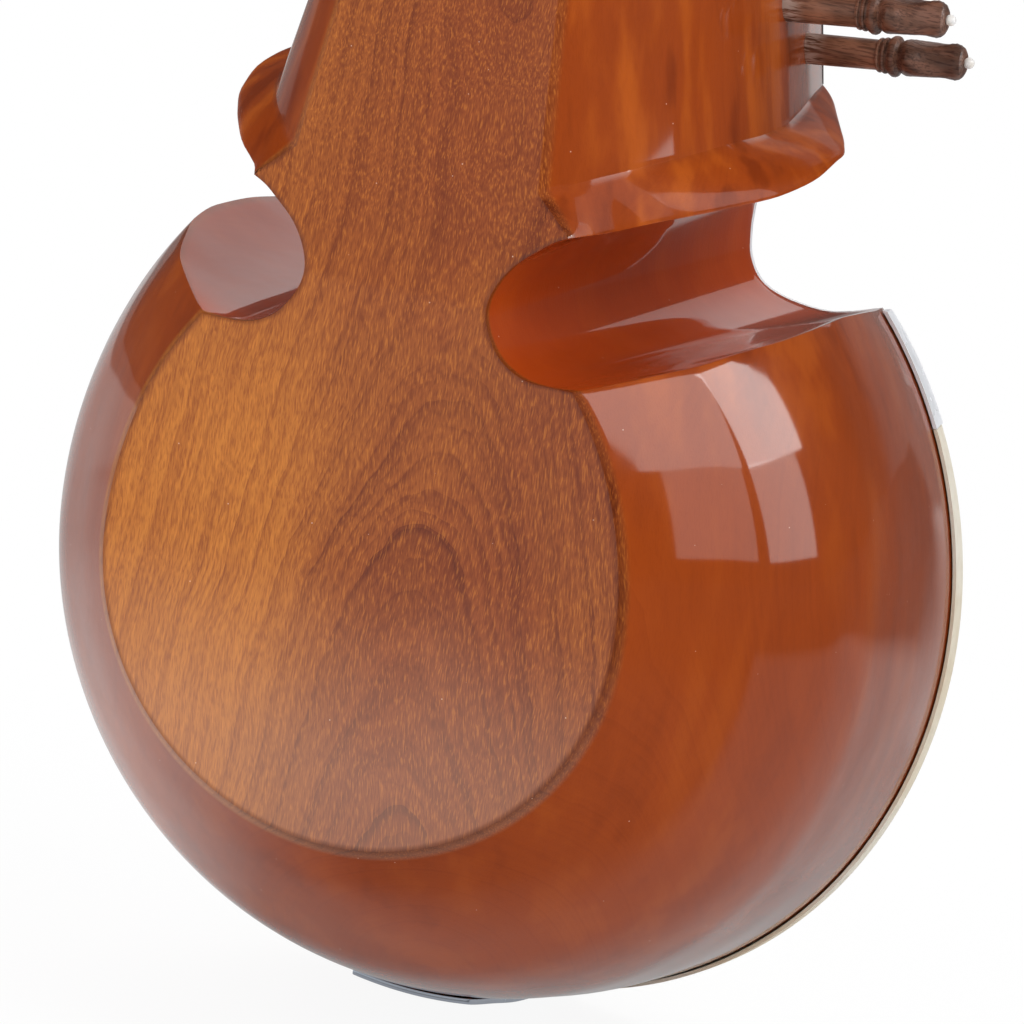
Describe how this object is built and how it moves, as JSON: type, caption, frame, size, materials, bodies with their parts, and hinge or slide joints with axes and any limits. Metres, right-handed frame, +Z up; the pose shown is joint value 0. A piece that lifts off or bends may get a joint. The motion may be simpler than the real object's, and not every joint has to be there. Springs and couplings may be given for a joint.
{
  "type": "sarod",
  "caption": "Fretless plucked lute with a round skin-covered bowl, waisted lips, tapering neck with a polished metal fingerboard, pegbox and a row of side pegs.",
  "frame": {"origin": "middle of the flat round on the back of the bowl", "axes": "+Z up the neck to the head, +Y out of the flat back, so the strings face -Y; the side pegs are on -X"},
  "size_m": [0.274, 0.2128, 1.0118],
  "materials": {
    "lacquered_wood": "gloss lacquer over a red-brown stain",
    "dark_wood": "satin",
    "peg_wood": "turned and carved, satin, with a white bead",
    "chrome": "mirror polish",
    "steel": "polished plate",
    "string_steel": "drawn wire",
    "hide": "scraped hide, matt",
    "white_plate": "smooth, slightly blue white",
    "horn": "polished horn"
  },
  "bodies": {
    "sarod": {"body": "lacquered_wood", "head": "lacquered_wood", "neck_cover": "dark_wood", "fingerboard": "chrome", "waist_plate": "white_plate", "skin": "hide", "bridge": "horn", "nut": "horn", "tailpiece": "steel", "chikari_post_1": "horn", "chikari_post_2": "horn", "chikari_string_1": "string_steel", "chikari_string_2": "string_steel", "main_string_1": "string_steel", "main_string_2": "string_steel", "main_string_3": "string_steel", "main_string_4": "string_steel", "main_string_5": "string_steel", "main_string_6": "string_steel", "tarab_string_1": "string_steel", "tarab_string_2": "string_steel", "tarab_string_3": "string_steel", "tarab_string_4": "string_steel", "tarab_string_5": "string_steel", "tarab_string_6": "string_steel", "tarab_string_7": "string_steel", "tarab_string_8": "string_steel", "tarab_string_9": "string_steel", "tarab_string_10": "string_steel", "tarab_string_11": "string_steel"},
    "tarab_peg_1": {"tarab_peg_1": "peg_wood"},
    "tarab_peg_2": {"tarab_peg_2": "peg_wood"},
    "tarab_peg_3": {"tarab_peg_3": "peg_wood"},
    "tarab_peg_4": {"tarab_peg_4": "peg_wood"},
    "tarab_peg_5": {"tarab_peg_5": "peg_wood"},
    "tarab_peg_6": {"tarab_peg_6": "peg_wood"},
    "tarab_peg_7": {"tarab_peg_7": "peg_wood"},
    "tarab_peg_8": {"tarab_peg_8": "peg_wood"},
    "tarab_peg_9": {"tarab_peg_9": "peg_wood"},
    "tarab_peg_10": {"tarab_peg_10": "peg_wood"},
    "tarab_peg_11": {"tarab_peg_11": "peg_wood"},
    "chikari_peg_1": {"chikari_peg_1": "peg_wood"},
    "chikari_peg_2": {"chikari_peg_2": "peg_wood"},
    "main_peg_1": {"main_peg_1": "peg_wood"},
    "main_peg_2": {"main_peg_2": "peg_wood"},
    "main_peg_3": {"main_peg_3": "peg_wood"},
    "main_peg_4": {"main_peg_4": "peg_wood"},
    "main_peg_5": {"main_peg_5": "peg_wood"},
    "main_peg_6": {"main_peg_6": "peg_wood"}
  },
  "joints": [
    {"name": "tarab_peg_1_turn", "type": "hinge", "parent": "sarod", "child": "tarab_peg_1", "pos_m": [-0.06549, -0.152, 0.16551], "axis": [-0.9962, 0, 0.0872], "continuous": true},
    {"name": "tarab_peg_2_turn", "type": "hinge", "parent": "sarod", "child": "tarab_peg_2", "pos_m": [-0.06742, -0.12115, 0.18152], "axis": [-0.9962, 0, 0.0872], "continuous": true},
    {"name": "tarab_peg_3_turn", "type": "hinge", "parent": "sarod", "child": "tarab_peg_3", "pos_m": [-0.05983, -0.15325, 0.19751], "axis": [-0.9962, 0, 0.0872], "continuous": true},
    {"name": "tarab_peg_4_turn", "type": "hinge", "parent": "sarod", "child": "tarab_peg_4", "pos_m": [-0.06159, -0.12363, 0.21352], "axis": [-0.9962, 0, 0.0872], "continuous": true},
    {"name": "tarab_peg_5_turn", "type": "hinge", "parent": "sarod", "child": "tarab_peg_5", "pos_m": [-0.05469, -0.15462, 0.22951], "axis": [-0.9962, 0, 0.0872], "continuous": true},
    {"name": "tarab_peg_6_turn", "type": "hinge", "parent": "sarod", "child": "tarab_peg_6", "pos_m": [-0.05635, -0.12633, 0.24552], "axis": [-0.9962, 0, 0.0872], "continuous": true},
    {"name": "tarab_peg_7_turn", "type": "hinge", "parent": "sarod", "child": "tarab_peg_7", "pos_m": [-0.0501, -0.1561, 0.26151], "axis": [-0.9962, 0, 0.0872], "continuous": true},
    {"name": "tarab_peg_8_turn", "type": "hinge", "parent": "sarod", "child": "tarab_peg_8", "pos_m": [-0.05169, -0.12921, 0.27752], "axis": [-0.9962, 0, 0.0872], "continuous": true},
    {"name": "tarab_peg_9_turn", "type": "hinge", "parent": "sarod", "child": "tarab_peg_9", "pos_m": [-0.04603, -0.15768, 0.29352], "axis": [-0.9962, 0, 0.0872], "continuous": true},
    {"name": "tarab_peg_10_turn", "type": "hinge", "parent": "sarod", "child": "tarab_peg_10", "pos_m": [-0.04759, -0.13226, 0.30951], "axis": [-0.9962, 0, 0.0872], "continuous": true},
    {"name": "tarab_peg_11_turn", "type": "hinge", "parent": "sarod", "child": "tarab_peg_11", "pos_m": [-0.04248, -0.15933, 0.32551], "axis": [-0.9962, 0, 0.0872], "continuous": true},
    {"name": "chikari_peg_1_turn", "type": "hinge", "parent": "sarod", "child": "chikari_peg_1", "pos_m": [-0.03758, -0.158, 0.39002], "axis": [-1, 0, 0], "continuous": true},
    {"name": "chikari_peg_2_turn", "type": "hinge", "parent": "sarod", "child": "chikari_peg_2", "pos_m": [-0.03536, -0.158, 0.43201], "axis": [-1, 0, 0], "continuous": true},
    {"name": "main_peg_1_turn", "type": "hinge", "parent": "sarod", "child": "main_peg_1", "pos_m": [0.0335, -0.16638, 0.61796], "axis": [1, 0, 0], "continuous": true},
    {"name": "main_peg_2_turn", "type": "hinge", "parent": "sarod", "child": "main_peg_2", "pos_m": [-0.03359, -0.16572, 0.64092], "axis": [-1, 0, 0], "continuous": true},
    {"name": "main_peg_3_turn", "type": "hinge", "parent": "sarod", "child": "main_peg_3", "pos_m": [0.03332, -0.16497, 0.66388], "axis": [1, 0, 0], "continuous": true},
    {"name": "main_peg_4_turn", "type": "hinge", "parent": "sarod", "child": "main_peg_4", "pos_m": [-0.03302, -0.16419, 0.68684], "axis": [-1, 0, 0], "continuous": true},
    {"name": "main_peg_5_turn", "type": "hinge", "parent": "sarod", "child": "main_peg_5", "pos_m": [0.03207, -0.16286, 0.7098], "axis": [1, 0, 0], "continuous": true},
    {"name": "main_peg_6_turn", "type": "hinge", "parent": "sarod", "child": "main_peg_6", "pos_m": [-0.03111, -0.16153, 0.73276], "axis": [-1, 0, 0], "continuous": true}
  ]
}
